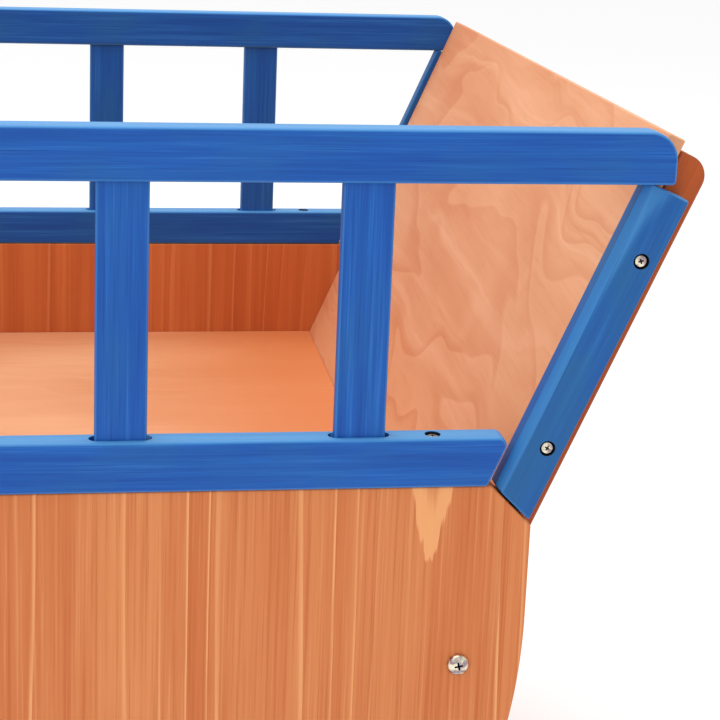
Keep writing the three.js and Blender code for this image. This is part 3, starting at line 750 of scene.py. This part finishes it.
def boolean(piece, tool, operation="DIFFERENCE"):
    """Cuts a tool's shape out of a piece, or joins it on with UNION, and removes the tool."""
    only(piece)
    bpy.ops.object.modifier_add(type="BOOLEAN")
    piece.modifiers[-1].operation = operation
    piece.modifiers[-1].object = tool
    bpy.ops.object.modifier_apply(modifier=piece.modifiers[-1].name)
    bpy.data.objects.remove(tool)


def placed(model, name, matrix):
    """A copy of a model with its own mesh, moved to its place in the mesh."""
    piece = bpy.data.objects.new(name, model.data.copy())
    bpy.context.scene.collection.objects.link(piece)
    piece.data.transform(matrix)
    return piece


def facing(place, direction, twist=0.0):
    """The matrix that takes a part made along +Y to a place, with its top towards direction."""
    turn = Vector((0, 1, 0)).rotation_difference(Vector(direction)).to_matrix().to_4x4()
    return Matrix.Translation(place) @ turn @ Matrix.Rotation(twist, 4, "Y")


# %% [markdown]
# ## Screws
# Two kinds hold the tub together: small flat-head screws, set just below the surface of posts and
# rails in holes lined with a near-black cup of painted shade, and large pan-head bolts through the
# sides. Both have a cross recess, painted near black as shade. It could be drawn with inset and
# extrude, but a cross-shaped tool and a boolean cut give the tapered walls of the real one.

# %% Make the cross-shaped tool and the two screws
WEDGE_TAPER = (0.42, 1, 0.6)    # the size of a wedge's lower end, as a share of its upper end
CROSS_REACH = 0.68              # the cross stays within this share of a head's radius


def cross_tool(length, width, depth, top):
    """Two crossed wedges that narrow downwards from the height top, along Y."""
    bars = []
    for turn in (0, math.pi / 2):
        bpy.ops.object.select_all(action="DESELECT")
        bpy.ops.mesh.primitive_cube_add(size=1)
        bar = bpy.context.object
        bar.data.transform(Matrix.Diagonal((length, 2 * depth, width, 1)))
        edit(bar)
        pick(bar, "FACE", lambda face: face.normal.y < -0.9)
        bpy.ops.transform.resize(value=WEDGE_TAPER)
        done()
        bar.data.transform(Matrix.Translation((0, top, 0)) @ Matrix.Rotation(turn, 4, "Y"))
        bars.append(bar)
    boolean(bars[0], bars[1], "UNION")
    return bars[0]


def recess_of(piece, radius, crown, depth):
    """The faces of a screw's cross recess: its steep walls and its deep floor."""
    return [face.index for face in piece.data.polygons
            if math.hypot(face.center.x, face.center.z) < radius * CROSS_REACH
            and crown - depth * 1.1 < face.center.y
            and (face.normal.y < 0.6 or face.center.y < crown - depth * 0.7)]


def shade_filled(piece, recess):
    """Gives the recess of a fitted screw a near-black material as painted shade."""
    piece.data.materials.append(shade_black)
    for index in recess:
        piece.data.polygons[index].material_index = 1


SMALL_STEPS, BOLT_STEPS = 32, 48
HEAD_RADIUS = 3.3 * MM
HEAD_HEIGHT = 3.1 * MM
HEAD_FOOT = 0.25 * MM     # clear of the shade cup's floor
HEAD_RECESS = 1.1 * MM
BOLT_RECESS = 1.9 * MM
head_rim = arc((HEAD_RADIUS - 0.35 * MM, HEAD_HEIGHT - 0.5 * MM), 0.35 * MM, 0, 80, 4)
flat_screw = lathe("flat_screw", [
    (0, HEAD_FOOT), (HEAD_RADIUS * 0.9, HEAD_FOOT), *head_rim,
    (HEAD_RADIUS * 0.55, HEAD_HEIGHT), (0, HEAD_HEIGHT + 0.06 * MM)], SMALL_STEPS)
boolean(flat_screw, cross_tool(4.2 * MM, 1.1 * MM, HEAD_RECESS, HEAD_HEIGHT))
smooth(flat_screw)
flat_recess = recess_of(flat_screw, HEAD_RADIUS, HEAD_HEIGHT, HEAD_RECESS)
CUP_OUTER, CUP_INNER = 4.45 * MM, 4.25 * MM
CUP_FOOT, CUP_FLOOR, CUP_TOP = 0.02 * MM, 0.2 * MM, 3.7 * MM
hole_shade_cup = lathe("hole_shade_cup", [
    (0, CUP_FOOT), (CUP_OUTER, CUP_FOOT), (CUP_OUTER, CUP_TOP),
    (CUP_INNER, CUP_TOP), (CUP_INNER, CUP_FLOOR), (0, CUP_FLOOR)], SMALL_STEPS)
smooth(hole_shade_cup)

bolt_low, bolt_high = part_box("side_bolt_rear_right")
side_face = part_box("side_panel_right")[1].y
BOLT_RADIUS = (bolt_high.x - bolt_low.x) / 2
BOLT_CROWN = bolt_high.y - side_face
BOLT_LENGTH = side_face - bolt_low.y
SHANK_RADIUS = 3 * MM
pan_bolt = lathe("pan_bolt", [
    (0, -BOLT_LENGTH), (2.6 * MM, -BOLT_LENGTH), (SHANK_RADIUS, 0.6 * MM - BOLT_LENGTH), (SHANK_RADIUS, 0),
    (BOLT_RADIUS * 0.985, 0), (BOLT_RADIUS, BOLT_CROWN * 0.12), (BOLT_RADIUS * 0.985, BOLT_CROWN * 0.38),
    (BOLT_RADIUS * 0.93, BOLT_CROWN * 0.6), (BOLT_RADIUS * 0.82, BOLT_CROWN * 0.78),
    (BOLT_RADIUS * 0.62, BOLT_CROWN * 0.91), (BOLT_RADIUS * 0.35, BOLT_CROWN * 0.98), (0, BOLT_CROWN)],
    BOLT_STEPS)
boolean(pan_bolt, cross_tool(7.0 * MM, 1.45 * MM, BOLT_RECESS, BOLT_CROWN * 1.02))
smooth(pan_bolt)
pan_recess = recess_of(pan_bolt, BOLT_RADIUS, BOLT_CROWN, BOLT_RECESS)
print("recess faces:", len(flat_recess), len(pan_recess))
print("screw faces:", len(flat_screw.data.polygons), "bolt faces:", len(pan_bolt.data.polygons))

# %% [markdown]
# ## Driving the screws
# Each drilled hole is found in the CAD piece itself: its floor is a small flat face, just below
# the surface and facing out of it. A near-black cup of painted shade and a screw are set on each
# floor, and every screw is turned further than the one before, because real screws stop at any angle.

# %% Set the screws and bolts
HOLE_DEPTHS = (3 * MM, 5 * MM)
HOLE_REACH = 8 * MM       # faces closer together than this are of one hole
SCREW_TURN = 0.83         # radians from one screw to the next
BOLT_TURN = math.radians(12)


def hole_floors(node, direction):
    """The middles of the small faces that look along direction from inside a CAD node."""
    low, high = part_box(node)
    direction = Vector(direction)
    surface = max(low.dot(direction), high.dot(direction))
    mesh = frame["nodes"][node].data
    groups = []
    for face in mesh.polygons:
        depth = surface - face.center.dot(direction)
        if face.normal.dot(direction) < 0.99 or not HOLE_DEPTHS[0] < depth < HOLE_DEPTHS[1]:
            continue
        home = next((g for g in groups if (g[0][0] - face.center).length < HOLE_REACH), None)
        if home is None:
            groups.append([(face.center.copy(), face.area)])
        else:
            home.append((face.center.copy(), face.area))
    return [sum((c * a for c, a in g), Vector()) / sum(a for _, a in g) for g in groups]


driven = 0
for side, sign in SIDES:
    holes = [(f"bottom_rail_{side}", (0, 0, 1))]
    holes += [(f"corner_post_{end}_{side}", (0, sign, 0)) for end, _ in ENDS]
    for node, direction in holes:
        for spot in hole_floors(node, direction):
            driven += 1
            screw = placed(flat_screw, f"screw_{driven}", facing(spot, direction, driven * SCREW_TURN))
            fit(screw, zinc, "zinc", "tub")
            shade_filled(screw, flat_recess)
            # Painted shade: a near-black cup inside each hole stands in for the shade there.
            dark_cup = placed(hole_shade_cup, f"screw_hole_lining_{driven}", facing(spot, direction))
            fit(dark_cup, shade_black, "blue_wood", "tub")
    for end, _ in ENDS:
        node = f"side_bolt_{end}_{side}"
        spot = centre(node)
        spot.y = sign * side_face
        bolt = placed(pan_bolt, node + "_finished", facing(spot, (0, sign, 0), BOLT_TURN))
        fit(bolt, zinc, "zinc", "tub", node)
        shade_filled(bolt, pan_recess)
print("screws driven:", driven)

# %% [markdown]
# ## Wheels
# Each wheel is one moulding: a hub, a thin web and a wide rim. The real mould rounds every edge
# and leaves round windows in the web to save plastic. The body is turned on the lathe, six
# windows are bored through the web, and their rims are bevelled.

# %% Turn one wheel and fit four copies
wheel_low, wheel_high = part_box("wheel_rear_left")
tyre_low, tyre_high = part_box("tyre_rear_left")
axle_low, axle_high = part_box("rear_axle_rod")
AXLE_RADIUS = (axle_high.z - axle_low.z) / 2
RIM_RADIUS = (wheel_high.z - wheel_low.z) / 2
HUB_HALF = (wheel_high.y - wheel_low.y) / 2
TYRE_RADIUS = (tyre_high.z - tyre_low.z) / 2
TYRE_HALF = (tyre_high.y - tyre_low.y) / 2
RIM_HALF = 17 * MM
RIM_WALL = 7 * MM
HUB_RADIUS = 20 * MM
WEB_HALF = 5 * MM
WINDOWS = 6
WINDOW_RADIUS = 15.5 * MM
WHEEL_STEPS = 96


def mirrored_profile(half):
    """A profile and its mirror image in the middle of the wheel, as one closed line."""
    return [*half, *[(r, -h) for r, h in reversed(half)], half[0]]


def wheel_model():
    bore = AXLE_RADIUS + 0.1 * MM
    inner = RIM_RADIUS - RIM_WALL
    half = [
        (bore, HUB_HALF - 0.8 * MM), (bore + 0.8 * MM, HUB_HALF),
        *arc((HUB_RADIUS - 2 * MM, HUB_HALF - 2 * MM), 2 * MM, 90, 0, 4),
        *arc((HUB_RADIUS + 5 * MM, WEB_HALF + 5 * MM), 5 * MM, 180, 270, 5),
        *arc((inner - 4 * MM, WEB_HALF + 4 * MM), 4 * MM, -90, 0, 5),
        *arc((inner + 1.2 * MM, RIM_HALF - 1.2 * MM), 1.2 * MM, 180, 90, 3),
        *arc((RIM_RADIUS - 1.2 * MM, RIM_HALF - 1.2 * MM), 1.2 * MM, 90, 0, 3)]
    wheel = lathe("wheel_model", mirrored_profile(half), WHEEL_STEPS)
    middle = (HUB_RADIUS + inner) / 2
    spots = [Vector((middle * math.sin(2 * math.pi * i / WINDOWS), 0,
                     middle * math.cos(2 * math.pi * i / WINDOWS))) for i in range(WINDOWS)]
    for spot in spots:
        bpy.ops.object.select_all(action="DESELECT")
        bpy.ops.mesh.primitive_cylinder_add(vertices=40, radius=WINDOW_RADIUS, depth=40 * MM)
        tool = bpy.context.object
        tool.data.transform(Matrix.Translation(spot) @ Matrix.Rotation(math.pi / 2, 4, "X"))
        boolean(wheel, tool)

    def window_rim(edge):
        ends = ends_of(wheel, edge)
        return (all(abs(abs(v.y) - WEB_HALF) < 0.1 * MM for v in ends) and any(
            all(abs((Vector((v.x, 0, v.z)) - spot).length - WINDOW_RADIUS) < 0.2 * MM for v in ends)
            for spot in spots))

    edit(wheel, "EDGE")
    rims = pick(wheel, "EDGE", window_rim)
    bpy.ops.mesh.bevel(offset=1.0 * MM, segments=2, affect="EDGES", clamp_overlap=False)
    done()
    smooth(wheel)
    print("window rim edges:", rims, "wheel faces:", len(wheel.data.polygons))
    return wheel


# %% [markdown]
# ## Tyres
# A solid rubber tyre with grooves round the tread and notched shoulders. The grooves are part of
# the turned profile. The notches are every other shoulder face, inset and pushed in.

# %% Turn one tyre
NOTCH_MARGIN, NOTCH_DEPTH = 0.7 * MM, 1.5 * MM


def tyre_model():
    seat = RIM_RADIUS + 0.3 * MM
    groove, lip = 2.2 * MM, 0.6 * MM
    crown = TYRE_RADIUS
    half = [(seat, RIM_HALF), *arc((seat + 5 * MM, TYRE_HALF - 2.5 * MM), 2.5 * MM, 120, 60, 4),
            (crown - 7.5 * MM, TYRE_HALF - 0.6 * MM), (crown - 3.0 * MM, TYRE_HALF - 3.6 * MM),
            (crown - 1.0 * MM, 8.6 * MM), (crown - groove - lip, 8.0 * MM),
            (crown - groove - lip, 6.2 * MM), (crown - 0.3 * MM, 5.6 * MM), (crown, 1.2 * MM),
            (crown - groove, 0.9 * MM)]
    tyre = lathe("tyre_model", mirrored_profile(half), WHEEL_STEPS)

    def odd_shoulder(face):
        ring = math.hypot(face.center.x, face.center.z)
        turn = math.atan2(face.center.z, face.center.x) / (2 * math.pi) * WHEEL_STEPS
        on_shoulder = crown - 6.6 * MM < ring < crown - 1.4 * MM and abs(face.center.y) > 9 * MM
        return on_shoulder and math.floor(turn) % 2

    edit(tyre)
    notches = pick(tyre, "FACE", odd_shoulder)
    bpy.ops.mesh.inset(thickness=NOTCH_MARGIN, depth=-NOTCH_DEPTH, use_individual=True)
    done()
    smooth(tyre)
    print("tyre notches:", notches, "faces:", len(tyre.data.polygons))
    return tyre


# %% [markdown]
# ## Caps and washers
# A push-on cap with a domed end closes each axle, and a plain washer runs on each side of every
# hub. The washers fill the play that the axle leaves between board, hub and cap.

# %% Turn the small parts and fit all four wheels
cap_low, cap_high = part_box("axle_cap_rear_right")
CAP_RADIUS = (cap_high.z - cap_low.z) / 2
CAP_LENGTH = cap_high.y - cap_low.y
SOCKET = AXLE_RADIUS + 0.1 * MM
SOCKET_DEPTH = axle_high.y - cap_low.y + 0.3 * MM
cap_model = lathe("cap_model", [
    (SOCKET, 0), (CAP_RADIUS - 0.6 * MM, 0), (CAP_RADIUS, 0.6 * MM), (CAP_RADIUS, 4 * MM),
    (CAP_RADIUS - 0.9 * MM, 4.6 * MM), (CAP_RADIUS - 0.9 * MM, CAP_LENGTH - 4.5 * MM),
    *arc((CAP_RADIUS - 4.9 * MM, CAP_LENGTH - 4.5 * MM), 4 * MM, 0, 75, 5),
    (0, CAP_LENGTH), (0, SOCKET_DEPTH), (SOCKET, SOCKET_DEPTH), (SOCKET, 0)], 48)
smooth(cap_model)

WASHER_THICKNESS = 2.2 * MM
WASHER_RADIUS = 13 * MM
WASHER_BORE = AXLE_RADIUS + 0.3 * MM
washer_model = lathe("washer_model", [
    (WASHER_BORE, 0), (12.6 * MM, 0), (WASHER_RADIUS, 0.4 * MM),
    (WASHER_RADIUS, WASHER_THICKNESS - 0.4 * MM), (12.6 * MM, WASHER_THICKNESS),
    (WASHER_BORE, WASHER_THICKNESS), (WASHER_BORE, 0)], 40)
smooth(washer_model)

wheel = wheel_model()
tyre = tyre_model()
BOARD_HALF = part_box("rear_axle_board")[1].y
PLAY = 0.4 * MM
for end, _ in ENDS:
    carrier = body_of(f"{end}_axle_rod")
    for side, sign in SIDES:
        name = f"{end}_{side}"
        middle = centre("tyre_" + name)
        place = Matrix.Translation(middle)
        for kind, model, material, slot in (("wheel_", wheel, wheel_plastic, "wheel_plastic"),
                                            ("tyre_", tyre, rubber, "tyre")):
            piece = placed(model, kind + name + "_finished", place)
            fit(piece, material, slot, body_of(kind + name), kind + name)
        outward = (0, sign, 0)
        foot = Vector((middle.x, sign * cap_low.y, middle.z))
        cap = placed(cap_model, f"axle_cap_{name}_finished", facing(foot, outward))
        fit(cap, black_plastic, "black_plastic", carrier, "axle_cap_" + name)
        hub_face = abs(middle.y) + HUB_HALF
        for where, distance in (("inner", BOARD_HALF + PLAY), ("outer", hub_face + PLAY)):
            spot = Vector((middle.x, sign * distance, middle.z))
            washer = placed(washer_model, f"washer_{where}_{name}", facing(spot, outward))
            fit(washer, zinc, "zinc", carrier)
for model in (wheel, tyre, cap_model, washer_model):
    bpy.data.objects.remove(model)
print("wheels fitted at", [round(v, 3) for v in centre("tyre_rear_left")])

# %% [markdown]
# ## Pull handle
# The shaft is one sawn and sanded piece whose end is shaped into an eye. Its outline is rounded
# over, but its two bores stay crisp. The grip is a turned bar with a swelled middle and a bead cut
# near each end, glued through the eye.

# %% Round the shaft and turn the grip
PIN_ZONE, EYE_ZONE = 8 * MM, 15 * MM


def shaft_outline(a, b):
    middle = (a + b) / 2
    from_hinge = math.hypot(middle.x - hinge.x, middle.z - hinge.z)
    from_grip = math.hypot(middle.x - grip_centre.x, middle.z - grip_centre.z)
    return from_hinge > PIN_ZONE and from_grip > EYE_ZONE


eased("drawbar_shaft", 3 * MM, pine["handle"], "pine", shaft_outline, 4)
grip_low, grip_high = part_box("grip_bar")
GRIP_RADIUS = (grip_high.z - grip_low.z) / 2
GRIP_HALF = (grip_high.y - grip_low.y) / 2
EYE_HALF = 18 * MM        # the bar stays straight where it passes through the eye
BEAD_RADIUS = 1.32 * MM
grip_half = [
    (GRIP_RADIUS, 0), (GRIP_RADIUS, EYE_HALF),
    (GRIP_RADIUS * 0.93, EYE_HALF + 5 * MM), (GRIP_RADIUS * 0.97, GRIP_HALF * 0.55),
    (GRIP_RADIUS * 0.99, GRIP_HALF * 0.74), (GRIP_RADIUS * 0.9, GRIP_HALF - 10.5 * MM),
    *arc((GRIP_RADIUS * 0.9 - 0.4 * MM, GRIP_HALF - 8 * MM), BEAD_RADIUS, -60, 60, 4),
    (GRIP_RADIUS * 0.92, GRIP_HALF - 5.4 * MM),
    *arc((GRIP_RADIUS * 0.92 - 4 * MM, GRIP_HALF - 4 * MM), 4 * MM, 10, 80, 5), (0, GRIP_HALF)]
grip = lathe("grip_bar_finished", [*[(r, -h) for r, h in reversed(grip_half)], *grip_half[1:]], 48)
smooth(grip)
grip.data.transform(Matrix.Translation(grip_centre))
fit(grip, blue["crosswise"], "blue_wood", "pull_handle", "grip_bar")
print("grip faces:", len(grip.data.polygons))

# %% [markdown]
# ## Screws below the floor
# The bracket is held to the axle board by two flat-head screws inside its channel, above and below
# the handle. They are copies of the small screw, with their heads partly in countersinks.

# %% Screw the bracket on
BRACKET_PLATE = 4 * MM
SUNK = 1.6 * MM
SCREW_RISE = 15 * MM
plate_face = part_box("drawbar_bracket")[1].x - BRACKET_PLATE
for word, rise, twist in (("upper", SCREW_RISE, 15), ("lower", -SCREW_RISE, -15)):
    spot = Vector((plate_face + SUNK, 0, hinge.z + rise))
    screw = placed(flat_screw, f"bracket_screw_{word}", facing(spot, (-1, 0, 0), twist))
    fit(screw, zinc, "zinc", "front_axle")
for model in (flat_screw, pan_bolt, hole_shade_cup):
    bpy.data.objects.remove(model)
